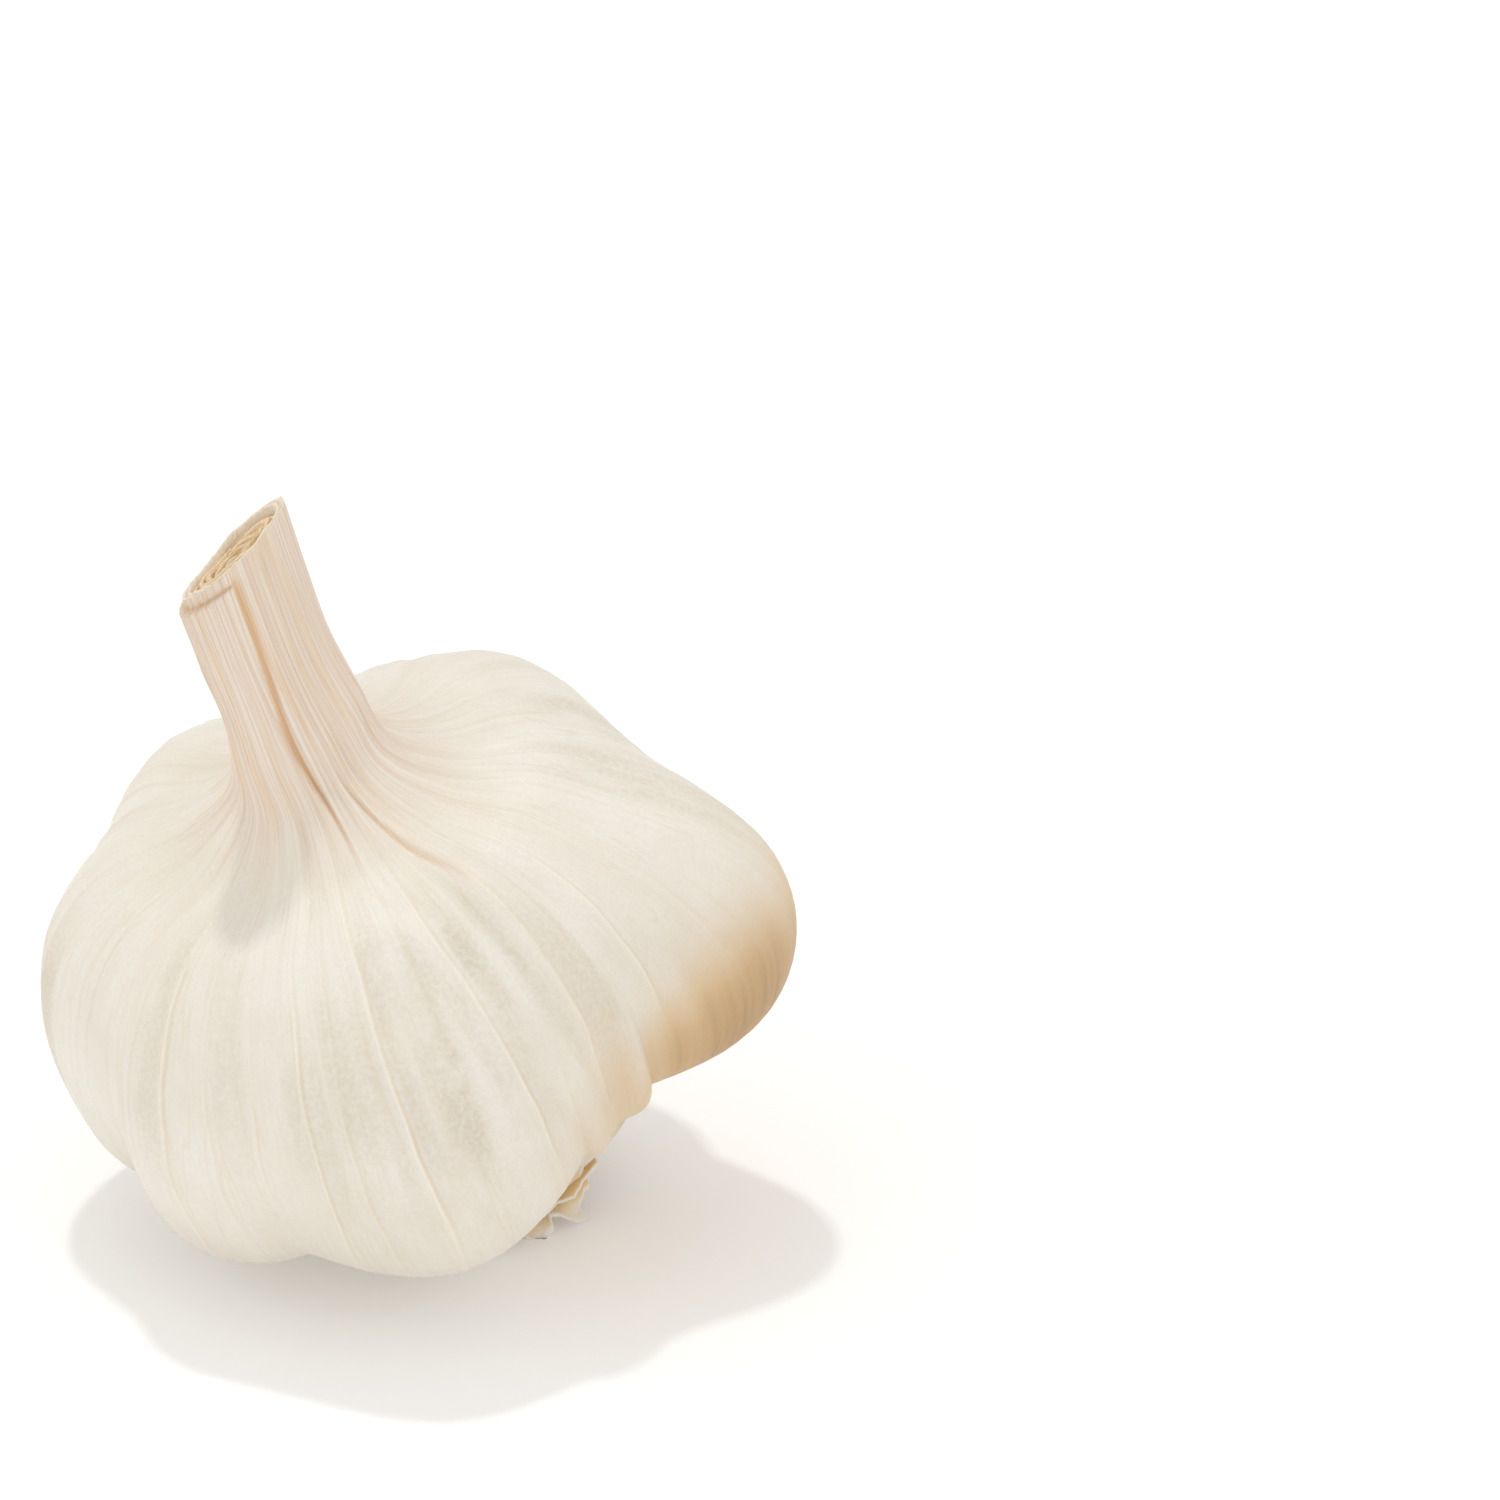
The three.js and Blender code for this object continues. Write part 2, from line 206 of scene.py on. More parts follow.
def inside_stem(x, y, h, depth):
    """Place of a point inside the cut end, which follows the leaning stem down."""
    t = 1 - depth / STEM_LENGTH
    return bend(x, y, h - depth, CUT) + STEM_LEAN * (t - 1) + STEM_BEND * (t * t - 1)


print("middle of the cut:", bend(0, 0, OUTLINE[CUT][1], CUT))

# %% [markdown]
# Garlic skin is veined: each vein is a thin raised fold that runs from the roots to the neck.
# Drawing each by hand would take long, and a repeated pattern would look printed. So the
# ones in front are listed one by one, the ones behind come from a seeded rule, and many faint
# ones lie between them. Each vein is an azimuth, a strength and a number of its own, from
# which it gets its own wobble.

# %% Where the veins run
random.seed(7)
VEINS_IN_FRONT = [-84, -75, -66, -56, -47, -38, -29, -20, -10, -2, 7, 27, 34, 41, 48, 58, 69, 79]
STRONG_VEINS = (-38, -10, 7, 27, 41, 58)
STRONG = 1.15
VEINS_BEHIND = 20
FAINT_VEINS = 110

veins = []
for k, azimuth in enumerate(VEINS_IN_FRONT):
    strength = STRONG if azimuth in STRONG_VEINS else random.uniform(0.5, 0.85)
    veins.append((azimuth, strength, 7 * k))
for k in range(VEINS_BEHIND):
    azimuth = 88 + 184 * (k + random.uniform(0.2, 0.8)) / VEINS_BEHIND
    veins.append((azimuth, random.uniform(0.5, 1.0), 60 + k))
for k in range(FAINT_VEINS):
    veins.append((random.uniform(-90, 270), random.uniform(0.08, 0.3), 100 + k))
veins.sort()
vein_azimuths = [vein[0] for vein in veins]
print("veins:", len(veins))

# %% [markdown]
# A vein is steep on its right side and shallow on its left. The sheet has about one vertex
# in every third of a millimetre, too few to paint a hairline on, so besides the height we
# keep the signed distance to the nearest vein that counts. The finish can draw a line from
# it that is finer than the mesh.

# %% The relief of the veins
STEEP_SIDE = 0.22
SHALLOW_SIDE = 0.7
COUNTS_FROM = 0.3
NEIGHBOURS = 8
FARTHEST = 2.0


def vein_relief(azimuth, station, radius):
    """Height of the veins here, distance to the right of the nearest, and how near it is."""
    turned = (azimuth + 90) % 360 - 90
    first = bisect(vein_azimuths, turned) - NEIGHBOURS // 2
    height = 0.0
    beside = 9.0
    near = 0.0
    for k in range(first, first + NEIGHBOURS):
        place, strength, key = veins[k % len(veins)]
        wander = noise.noise(Vector((station * 0.45, key * 7.3, 0.5)))
        wander += 0.35 * noise.noise(Vector((station * 1.7, key * 5.9, 2.5)))
        place += 1.7 * wander * smooth(0, 4, station)
        apart = (turned - place + 180) % 360 - 180
        distance = math.radians(apart) * max(radius, 5.0)
        width = STEEP_SIDE if distance > 0 else SHALLOW_SIDE
        strength *= 0.75 + 0.5 * noise.noise(Vector((station * 0.8, key * 3.1, 4.0)))
        height = max(height, strength * math.exp(-abs(distance) / width))
        if strength > COUNTS_FROM and abs(distance) < abs(beside):
            beside = distance
            near = strength ** 1.5 * smooth(1.5, 0.8, abs(distance))
    return height, min(max(beside, -FARTHEST), FARTHEST), near


print("height, distance and nearness at a vein:", vein_relief(7, 7, 29))

# %% [markdown]
# The outermost sheath is a strip round the left and front of the stem. It ends a little below
# the cut, and a slit opens along its right edge where the sheath beneath it shows. Right of
# it a narrow crease runs out onto the shoulder. A separate strip would have to be sewn onto
# the skin, so all three are steps in the one skin, and only their edges are found here.

# %% The sheath strip, its slit and the crease
STRIP_FROM = -104
STRIP_TO = 15
STRIP_HEIGHT = 0.6
STRIP_TOP_LEFT = 14.93
STRIP_TOP_RIGHT = 14.72
SLIT_WIDTH = 10
SLIT_DEPTH = 0.4
CREASE_WIDTH = 1.2
CREASE_DEPTH = 0.4


def strip_top(azimuth):
    """Station where the strip is cut off, lowest at the strip's right edge."""
    t = min(max((azimuth - STRIP_FROM) / (STRIP_TO - STRIP_FROM), 0.0), 1.0)
    t *= smooth(170, 40, azimuth)
    return STRIP_TOP_LEFT + (STRIP_TOP_RIGHT - STRIP_TOP_LEFT) * t


def slit_azimuth(station):
    """The strip's right edge, where the slit starts; it bows a little to the left."""
    return 17.5 - 6.5 * math.exp(-((station - 12.3) ** 2))


def slit_share(azimuth, station):
    """1 in the slit right beside the strip, and less towards the far side and the neck."""
    across = (azimuth - slit_azimuth(station)) / SLIT_WIDTH
    width = 0.25 + 0.55 * smooth(10.8, 13.4, station)
    open_part = smooth(9.6, 11.8, station) * smooth(15.0, 14.6, station)
    return smooth(-0.05, 0.02, across) * smooth(1.25, 0.1, across / width) * open_part


def crease_share(azimuth, station):
    """A narrow fold right of the slit, where the neck spreads into the shoulder."""
    place = 34 + 3.6 * (11.3 - station)
    return math.exp(-((azimuth - place) / CREASE_WIDTH) ** 2) * hill(8.7, 10.2, 12.0, station)


print("strip from", STRIP_FROM, "to", round(slit_azimuth(12.3), 1), "degrees")

# %% [markdown]
# Where the skin has lifted off the clove it turns clear and greyish, mostly in long patches
# between two veins. An even noise would spread them everywhere, so the ones in front have
# their own row: azimuth, half width in degrees, upper and lower station, and strength. The
# hidden side gets seeded ones.

# %% The clear patches
CLEAR_PATCHES = [
    (33, 6, 9.3, 6.6, 1.0), (15, 7, 9.2, 6.2, 1.0), (22, 4, 8.4, 5.8, 0.7),
    (1, 5, 8.6, 6.0, 0.6), (-9, 4, 8.2, 6.2, 0.5), (-45, 7, 9.2, 6.8, 0.55),
    (46, 4, 8.6, 6.2, 0.6), (-25, 4, 8.8, 7.0, 0.3),
]
HIDDEN_PATCHES = 14
for k in range(HIDDEN_PATCHES):
    CLEAR_PATCHES.append((
        90 + 14 * k + random.uniform(-5, 5), random.uniform(3, 8), random.uniform(7.8, 9.2),
        random.uniform(3.5, 6.5), random.uniform(0.3, 0.9),
    ))
print("clear patches:", len(CLEAR_PATCHES))


def clearness(azimuth, station):
    """How clear the skin is, from 0 to 1."""
    value = 0.0
    for place, half_width, high, low, strength in CLEAR_PATCHES:
        apart = abs((azimuth - place + 180) % 360 - 180)
        if apart < half_width * 1.3 and low - 1 < station < high + 0.6:
            sides = smooth(half_width * 1.3, half_width * 0.75, apart)
            ends = smooth(high + 0.6, high - 0.6, station) * smooth(low - 1, low + 0.8, station)
            value = max(value, strength * sides * ends)
    return value


# %% [markdown]
# Where the right clove turns under, it is painted tan at first, then brown: painted shade
# with warm reflected light. A plain round blot would look sprayed on, so noise that is drawn
# out along the fibres makes its edge streaky. The front clove gets a little of this painted
# shade in the groove beside the right clove.

# %% The painted shade where the right clove turns under
# Painted shade with warm reflected light under the right clove: its middle and half sizes
UNDERSIDE_SHADE_AZIMUTH = 76
UNDERSIDE_SHADE_HALF_WIDTH = 34
UNDERSIDE_SHADE_STATION = 4.7
UNDERSIDE_SHADE_HALF_HEIGHT = 2.4
FRONT_GROOVE_SHADE = 0.42


def ring_noise(a, across, along):
    """Noise that meets itself after a full turn round the bulb; a is in radians."""
    return noise.noise(Vector((math.cos(a) * across, math.sin(a) * across, along)))


def underside_shade_share(azimuth, station):
    """How deep the painted shade is, from 0 to 1."""
    a = math.radians(azimuth)
    streak = ring_noise(a, 16, station * 0.35)
    wander = ring_noise(a, 2.5, station * 0.9)
    across = (azimuth - UNDERSIDE_SHADE_AZIMUTH) / UNDERSIDE_SHADE_HALF_WIDTH
    along = (station - UNDERSIDE_SHADE_STATION) / UNDERSIDE_SHADE_HALF_HEIGHT
    from_middle = math.hypot(across, along)
    right_clove = smooth(1.3, 0.15, from_middle + 0.08 * streak + 0.14 * wander)
    # A little painted shade in the groove beside the right clove
    front_clove = FRONT_GROOVE_SHADE * smooth(14, 46, azimuth) * smooth(54, 46, azimuth)
    return max(right_clove, front_clove * smooth(7.8, 5.4, station))


print("stain at its middle:", round(underside_shade_share(UNDERSIDE_SHADE_AZIMUTH, UNDERSIDE_SHADE_STATION), 2))

# %% [markdown]
# The skin starts as a flat sheet, and each of its rows has a number. Up to the cut a row's
# number is its station. Rows -1 to 0 close the root hollow, 15 to 16 are the cut edge of the
# outer sheath, 16 to 17 go down inside it, and 17 to 18 close the floor of that socket. We
# could space the rows evenly, but the top of the strip needs a sharp step, so the rows lie
# close together there and slide to wherever the strip ends.

# %% The rows of the skin
COLUMNS = 600
# First row, last row and the number of rows in between
ROW_PLAN = [
    (-1.0, 0.0, 4), (0.0, 4.0, 30), (4.0, 9.0, 44), (9.0, 12.0, 32), (12.0, 14.47, 24),
    (14.47, 14.5, 1), (14.5, 14.53, 2), (14.53, 14.57, 1), (14.57, 15.0, 6), (15.0, 16.0, 9),
    (16.0, 17.0, 4), (17.0, 18.0, 2),
]
rows = [ROW_PLAN[0][0]]
for start, end, steps in ROW_PLAN:
    rows += [start + (end - start) * (k + 1) / steps for k in range(steps)]
print("skin sheet:", COLUMNS, "columns,", len(rows), "rows")

SLIDE_ROW = 13.5
STRIP_TOP_ROW = 14.5
ABOVE_STRIP_ROW = 14.53
STEP_RISE = 0.03
ROWS_TO_CUT = 0.47


def station_at(azimuth, row):
    """Station of a row; near the cut the rows slide with the top of the strip."""
    if row <= SLIDE_ROW or row > CUT:
        return min(max(row, 0.0), CUT)
    top = strip_top(azimuth)
    if row <= STRIP_TOP_ROW:
        return SLIDE_ROW + (row - SLIDE_ROW) * (top - SLIDE_ROW)
    if row <= ABOVE_STRIP_ROW:
        return top + (row - STRIP_TOP_ROW)
    return top + STEP_RISE + (row - ABOVE_STRIP_ROW) / ROWS_TO_CUT * (CUT - top - STEP_RISE)


# %% [markdown]
# The small forms of the skin come next: the ribs and pleats of the stem, the slow unevenness
# of a thing that grew, and the cut rim, which isn't quite even and arches at the back. Each
# is a little noise with its own size, which is quicker than sculpting and stays the same in
# every run.

# %% Ribs, unevenness and the cut rim
def stem_ribs(a, station):
    """Fine ribs of the stem and the pleats of the neck, in millimetres."""
    ribs = smooth(9.2, 11.5, station)
    wave = ring_noise(a, 13, station * 0.12)
    pleats = ring_noise(a, 8, station * 0.2 + 9)
    return 0.16 * ribs * wave + 0.5 * hill(8.6, 10.4, 12.6, station) * pleats


def unevenness(a, radius, height, station):
    """Slow unevenness of the whole skin, in millimetres."""
    spot = Vector((math.cos(a) * radius, math.sin(a) * radius, height)) * 0.09
    return 0.2 * noise.noise(spot) * smooth(0, 3, station) * smooth(11, 8, station)


def uneven_cut(azimuth):
    """Height of the cut rim over its plane, in millimetres."""
    a = math.radians(azimuth)
    coarse = ring_noise(a, 3, 1.7)
    fine = ring_noise(a, 22, 6.1)
    arch = 0.5 * max(0.0, -math.cos(a)) ** 2 - 0.3 * max(0.0, math.cos(a - 0.35)) ** 2
    return arch + 0.2 * coarse + 0.08 * fine


rim = [round(uneven_cut(azimuth), 2) for azimuth in (0, 180)]
print("cut rim in front and at the back:", rim, "mm")

# %% [markdown]
# Now all of it is added up for one point of the skin. The relief moves it out along the
# outline's own direction, so a fold keeps its form where the bulb curves. What the finish
# has to know there, such as how clear the skin is or where it gets painted shade, goes along
# as marks.

# %% One point of the skin
SKIN_MARKS = ("crest", "beside", "near", "slit", "tan", "clear")
SHEATH_WALL = 0.8
RIM_GROOVE = 0.45
SOCKET_DEPTH = 3.2
SOCKET_WALL_ROW = 16
SOCKET_FLOOR_ROW = 17
LAST_ROW = 18


def skin_relief(azimuth, row, station, radius, height):
    """Relief of the skin at or below the cut, and its marks."""
    a = math.radians(azimuth)
    vein, beside, near = vein_relief(azimuth, station, radius)
    fade = hill(0.8, 4, 14.5, station) * (1.0 if station < 9 else 0.65)
    sharp = 0.14 + 0.28 * hill(5.5, 8.8, 10.5, station)
    above_belly = smooth(4.6, 7.2, station)
    in_front = math.exp(-(((azimuth - 5) / 38) ** 2))
    relief = clove_relief(azimuth, station) + sharp * vein * fade * (0.5 + 0.5 * above_belly)
    relief += stem_ribs(a, station)

    turned = (azimuth + 180) % 360 - 180
    edge = slit_azimuth(station)
    on_strip = smooth(STRIP_FROM - 25, STRIP_FROM, turned) * smooth(edge, edge - 0.7, turned)
    slit = slit_share(turned, station)
    crease = crease_share(turned, station)
    shadow = 0.0
    if row <= STRIP_TOP_ROW:
        relief += STRIP_HEIGHT * on_strip * smooth(9.4, 11.4, station)
    else:
        # A painted shadow line just above the strip's top edge
        shadow = on_strip * smooth(0.1, 0.02, station - strip_top(azimuth))
    relief -= SLIT_DEPTH * slit + CREASE_DEPTH * crease
    relief += unevenness(a, radius, height, station)
    return relief, {
        # Vein marks, which the finish turns into painted highlights and shadows
        "crest": vein * fade,
        "beside": beside,
        "near": near * fade * (0.3 + 0.7 * above_belly) * (0.4 + 0.6 * in_front),
        # The slit's ochre, with painted shade in the crease and the painted shadow above the strip
        "slit": max(slit, 0.6 * crease, 0.8 * shadow),
        # Painted shade with warm reflected light where the right clove turns under
        "tan": underside_shade_share(turned, station),
        "clear": clearness(azimuth, station),
    }


def skin_point(azimuth, row):
    """Place of a point of the skin, with its marks."""
    a = math.radians(azimuth)
    station = station_at(azimuth, row)
    radius, height, out_r, out_h = outline(station)
    marks = dict.fromkeys(SKIN_MARKS, 0.0)
    if row < 0:
        radius *= row + 1
        out_r, out_h = 0.0, -1.0
    if row <= CUT:
        relief, marks = skin_relief(azimuth, row, station, radius, height)
        radius += relief * out_r
        height += relief * out_h
    else:
        radius -= SHEATH_WALL * min(row - CUT, 1.0)
        if row > SOCKET_FLOOR_ROW:
            radius *= LAST_ROW - row
        height -= RIM_GROOVE * math.exp(-((row - 15.5) / 0.11) ** 2)
    if row > ABOVE_STRIP_ROW:
        uneven = uneven_cut(azimuth) * smooth(ABOVE_STRIP_ROW, CUT, row)
        height += uneven * smooth(16.6, SOCKET_WALL_ROW, row)
    x, y = radius * math.cos(a), radius * math.sin(a)
    if row > CUT:
        depth = SOCKET_DEPTH * min(max(row - SOCKET_WALL_ROW, 0.0), 1.0)
        return inside_stem(x, y, height, depth), marks
    return bend(x, y, height, station), marks


print("belly in front:", skin_point(0, 6)[0])

# %% [markdown]
# A skin that wraps round could be lofted ring by ring, but a flat grid is simpler: across it
# is the azimuth, up it is the row. Every vertex is carried to its place on the bulb, and
# merging the doubles closes the seam and both ends. The grid's own UV map stays, and the
# materials use it to follow the growth of the skin.

# %% Wrap the sheet round the bulb
def finish_mesh(bm, name):
    """Turns a bmesh into a smooth-shaded object and frees it."""
    for face in bm.faces:
        face.smooth = True
    mesh = bpy.data.meshes.new(name)
    bm.to_mesh(mesh)
    bm.free()
    piece = bpy.data.objects.new(name, mesh)
    bpy.context.scene.collection.objects.link(piece)
    print(name, "has", len(mesh.polygons), "faces")
    return piece


def wrap_sheet(name, columns, row_values, point_at, mark_names):
    """A closed skin made from a flat sheet; point_at gives each place and its marks."""
    bm = bmesh.new()
    bmesh.ops.create_grid(bm, x_segments=columns, y_segments=len(row_values) - 1, size=1.0)
    uv = bm.loops.layers.uv.new("growth")
    layers = {mark: bm.verts.layers.float.new(mark) for mark in mark_names}
    first, last = row_values[0], row_values[-1]
    row_of = {}
    for vert in bm.verts:
        row_of[vert] = row_values[round((vert.co.y + 1) / 2 * (len(row_values) - 1))]
    for face in bm.faces:
        for loop in face.loops:
            along = (row_of[loop.vert] - first) / (last - first)
            loop[uv].uv = ((loop.vert.co.x + 1) / 2, along)
    for vert in bm.verts:
        column = round((vert.co.x + 1) / 2 * columns)
        point, marks = point_at(360 * column / columns - 180, row_of[vert])
        vert.co = lay_down(point)
        for mark, layer in layers.items():
            vert[layer] = marks[mark]
    bmesh.ops.remove_doubles(bm, verts=bm.verts, dist=1e-6)
    bmesh.ops.recalc_face_normals(bm, faces=bm.faces)
    return finish_mesh(bm, name)


skin = wrap_sheet("bulb_skin", COLUMNS, rows, skin_point, SKIN_MARKS)

# %% [markdown]
# In the cut end we see the inner sheaths: thin rolled layers, straw yellow and dry, round a
# fibrous middle. Nested tubes would work, but each would need its own caps. One more wrapped
# sheet makes them all: its rows go up the outside and then step down and up again towards
# the middle, once for each layer. Each step says how far it lies inside the outer face and
# how far below the cut, in millimetres.

# %% The inner sheaths
CORE_GAP = 0.15
CORE_COLUMNS = 220
CORE_STEPS = [
    (4.9, 2.9), (0.1, 2.9), (0.0, 2.5), (0.0, 0.5), (0.06, 0.3), (0.36, 0.25), (0.42, 0.4),
    (0.46, 1.0), (0.56, 1.0), (0.6, 0.4), (0.66, 0.25), (0.96, 0.3), (1.02, 0.45), (1.06, 1.1),
    (1.16, 1.1), (1.2, 0.5), (1.26, 0.4), (1.6, 0.45), (1.66, 0.6), (1.7, 1.3), (1.8, 1.3),
    (1.84, 0.65), (1.9, 0.55), (2.2, 0.6), (2.26, 0.75), (2.3, 1.3), (2.4, 1.3), (2.44, 0.7),
    (2.6, 0.6), (3.1, 0.8), (3.5, 0.7), (4.9, 0.9),
]
# The steps are drawn for a core of this radius, and a new layer starts at every pitch
STEPS_RADIUS = 3.95
LAYER_PITCH = 0.6
FIRST_RIM_ROW = 3
LAST_CORE_ROW = len(CORE_STEPS) - 1
core_rows = [k / 2 for k in range(2 * LAST_CORE_ROW + 1)]


def core_point(azimuth, row):
    """Place of a point of the inner sheaths; it is marked as deep between two layers, where the
    finish paints shade.
    """
    a = math.radians(azimuth)
    i = min(int(row), LAST_CORE_ROW - 1)
    f = row - i
    inset, drop = (CORE_STEPS[i][n] * (1 - f) + CORE_STEPS[i + 1][n] * f for n in (0, 1))
    deep = smooth(0.7, 1.4, drop)
    radius = outline(CUT)[0] - SHEATH_WALL - CORE_GAP
    inset *= radius / STEPS_RADIUS
    radius = max(radius - inset, 0.0) if 0 < row < LAST_CORE_ROW else 0.0
    if FIRST_RIM_ROW < row < LAST_CORE_ROW:
        spot = Vector((math.cos(a) * 2.2, math.sin(a) * 2.2, row * 0.35))
        layer = math.floor((inset + 0.1) / LAYER_PITCH)
        drop += 0.2 * noise.noise(spot) + 0.06 * noise.noise(spot * 8)
        drop += 0.3 * ring_noise(a, 1.2, layer * 3.7)
        radius *= 1 + 0.05 * ring_noise(a, 1.5, layer)
        drop = max(drop, 0.1)
    x, y = radius * math.cos(a), radius * math.sin(a)
    return inside_stem(x, y, outline(CUT)[1], drop), {"deep": deep}


core = wrap_sheet("inner_sheaths_layers", CORE_COLUMNS, core_rows, core_point, ("deep",))

# %% [markdown]
# Below the bulb sits the root plate, a hard little disc from which the roots grew. A squashed
# cylinder would have sharp rims, so we spin the disc from half its outline, which gives each
# rim its own rounding, and roughen its underside with noise.

# %% The disc of the root plate
# Radius and height of half the disc's outline, in millimetres
PLATE_OUTLINE = [
    (0.0, 3.2), (5.4, 3.2), (5.7, 2.9), (5.7, 2.2), (5.4, 1.5), (4.5, 1.2), (0.0, 1.1),
]
PLATE_STEPS = 72
PLATE_ROUGHNESS = 0.22


def add_plate(bm):
    """Spins the disc and roughens it below its widest part."""
    ring = [bm.verts.new((r, 0, h)) for r, h in PLATE_OUTLINE]
    edges = [bm.edges.new(pair) for pair in zip(ring, ring[1:])]
    bmesh.ops.spin(
        bm, geom=ring + edges, cent=(0, 0, 0), axis=(0, 0, 1), angle=2 * math.pi,
        steps=PLATE_STEPS, use_merge=True,
    )
    bmesh.ops.remove_doubles(bm, verts=bm.verts, dist=1e-4)
    bmesh.ops.subdivide_edges(bm, edges=bm.edges, cuts=1)
    for vert in bm.verts:
        bump = noise.noise(vert.co * 0.9) + 0.5 * noise.noise(vert.co * 2.3)
        if vert.co.z < 2.5:
            vert.co.z += PLATE_ROUGHNESS * bump


print("root plate:", 2 * max(r for r, h in PLATE_OUTLINE), "mm across")

# %% [markdown]
# The trimmed roots stand on the disc as short stubs. A particle system could scatter them,
# but a loop with sunflower spacing, a turn of 137.5 degrees from one root to the next, fills
# the disc just as evenly. Each root is a small tapered cone that leans and bows a little.

# %% The trimmed roots
ROOTS = 70
GOLDEN_TURN = math.radians(137.5)
ROOTED_RADIUS = 4.7
LONG_ROOTS_RADIUS = 4.4
ROOT_FOOT = 2.0


def add_root(bm, k):
    """One tapered root stub; the outermost ones are shorter."""
    radius = ROOTED_RADIUS * math.sqrt((k + 0.5) / ROOTS)
    inner = radius < LONG_ROOTS_RADIUS
    length = random.uniform(4.6, 6.3) if inner else random.uniform(2.4, 4.6)
    thick = random.uniform(0.3, 0.5)
    lean = Matrix.Rotation(random.uniform(-0.16, 0.16) - 0.05 * radius, 3, "Y")
    turn = Matrix.Rotation(k * GOLDEN_TURN, 3, "Z")
    foot = Vector((radius, 0, ROOT_FOOT))
    root = bmesh.ops.create_cone(
        bm, cap_ends=True, segments=7, radius1=thick * 0.6, radius2=thick, depth=length,
        matrix=Matrix.Translation((0, 0, -length / 2)),
    )["verts"]
    bow = random.uniform(-0.5, 0.5)
    for vert in root:
        vert.co.x += bow * (vert.co.z / length) ** 2
        vert.co = turn @ (lean @ vert.co + foot)


roots_bm = bmesh.new()
add_plate(roots_bm)
for k in range(ROOTS):
    add_root(roots_bm, k)
bmesh.ops.recalc_face_normals(roots_bm, faces=roots_bm.faces)
for vert in roots_bm.verts:
    vert.co = lay_down(vert.co + ROOT_OFFSET)
roots = finish_mesh(roots_bm, "root_plate_with_roots")

# %% [markdown]
# Round the root hollow the skin is torn. Two torn hems hang there: a short outer one with a
# pale edge, and a longer inner one with ragged flakes. A noisy edge would look melted, but a
# rip runs straight from one corner to the next. So the tears that show are tables of
# corners, azimuth and length in millimetres, and seeded corners go on round the back.

# %% The corners of the tears
SHORT_TEAR = [
    (0, 1.6), (18, 2.2), (27, 2.8), (36, 2.5), (45, 3.2), (52, 2.7), (58, 2.8), (66, 3.0),
    (69, 2.1), (78, 1.7), (90, 1.4),
]
LONG_TEAR = [
    (4, 2.0), (13, 2.6), (16, 4.4), (22, 5.7), (26, 4.9), (29, 4.7), (31, 3.7), (35, 4.1),
    (39, 5.4), (44, 5.9), (47, 4.6), (51, 3.9), (55, 4.1), (60, 3.5), (66, 3.5), (70, 2.6),
    (84, 2.2), (90, 1.6),
]


def tear(corners, reach):
    """Adds seeded corners for the side that doesn't show in front."""
    corners = list(corners)
    azimuth = corners[-1][0]
    while azimuth < corners[0][0] + 350:
        low_side = max(0.0, math.cos(math.radians(azimuth + 45)))
        length = random.choice((0.4, 0.7, 1.0)) * random.uniform(0.8, 1.1) * reach
        corners.append((azimuth + 1, length * (1 - 0.7 * low_side)))
        azimuth += random.uniform(3, 9)
    return corners


def tear_length(corners, azimuth):
    """Length of the hem at an azimuth."""
    turned = (azimuth - corners[0][0]) % 360 + corners[0][0]
    i = bisect([corner[0] for corner in corners], turned) - 1
    start = corners[i]
    end = corners[i + 1] if i + 1 < len(corners) else (corners[0][0] + 360, corners[0][1])
    share = (turned - start[0]) / max(end[0] - start[0], 1e-6)
    return start[1] + (end[1] - start[1]) * share


short_corners = tear(SHORT_TEAR, 3.0)
long_corners = tear(LONG_TEAR, 5.0)
print("corners of the tears:", len(short_corners), "and", len(long_corners))

# %% [markdown]
# Each hem is a flat strip wrapped round the hollow. It starts inside the skin, so no gap
# shows, and then hangs out and down, crumpled by noise. A single sheet would vanish when it
# is seen from its edge, so a solidify gives it the thickness of a few layers of skin.

# %% The torn hems
HEM_COLUMNS = 480
HEM_ROWS = 9
HEM_THICKNESS = 0.14
HEM_START = 0.7
TUCKED_IN = 1.5


def torn_hem(name, corners, ring, slope, curl):
    """A torn strip: radius of its start, angle from straight down, and how much it curls."""
    bm = bmesh.new()
    bmesh.ops.create_grid(bm, x_segments=HEM_COLUMNS, y_segments=HEM_ROWS, size=1.0)
    along_layer = bm.verts.layers.float.new("along")
    length_layer = bm.verts.layers.float.new("length")
    for vert in bm.verts:
        a = math.pi * vert.co.x
        along = (vert.co.y + 1) / 2
        reach = tear_length(corners, 180 * vert.co.x) * along
        turn = Vector((math.cos(a), math.sin(a), 0))
        crumple = noise.noise(turn * 4 + Vector((0, 0, reach * 0.5 + ring)))
        fold = noise.noise(turn * 13 + Vector((0, 0, reach * 0.3)))
        angle = slope + 0.3 * crumple + curl * along * along
        tucked = TUCKED_IN * (1 - along) ** 3
        radius = ring + reach * math.sin(angle) + 0.12 * fold * along - tucked
        height = HEM_START - reach * math.cos(angle) + tucked
        vert.co = (radius * math.cos(a), radius * math.sin(a), height)
        vert[along_layer] = along
        vert[length_layer] = reach
    bmesh.ops.remove_doubles(bm, verts=bm.verts, dist=1e-4)
    bmesh.ops.recalc_face_normals(bm, faces=bm.faces)
    bmesh.ops.solidify(bm, geom=bm.faces, thickness=HEM_THICKNESS)
    for vert in bm.verts:
        vert.co = lay_down(vert.co + ROOT_OFFSET)
    return finish_mesh(bm, name)


short_hem = torn_hem("torn_hem_short", short_corners, 9.0, math.radians(24), 0.3)
long_hem = torn_hem("torn_hem_long", long_corners, 8.3, math.radians(27), 0.1)

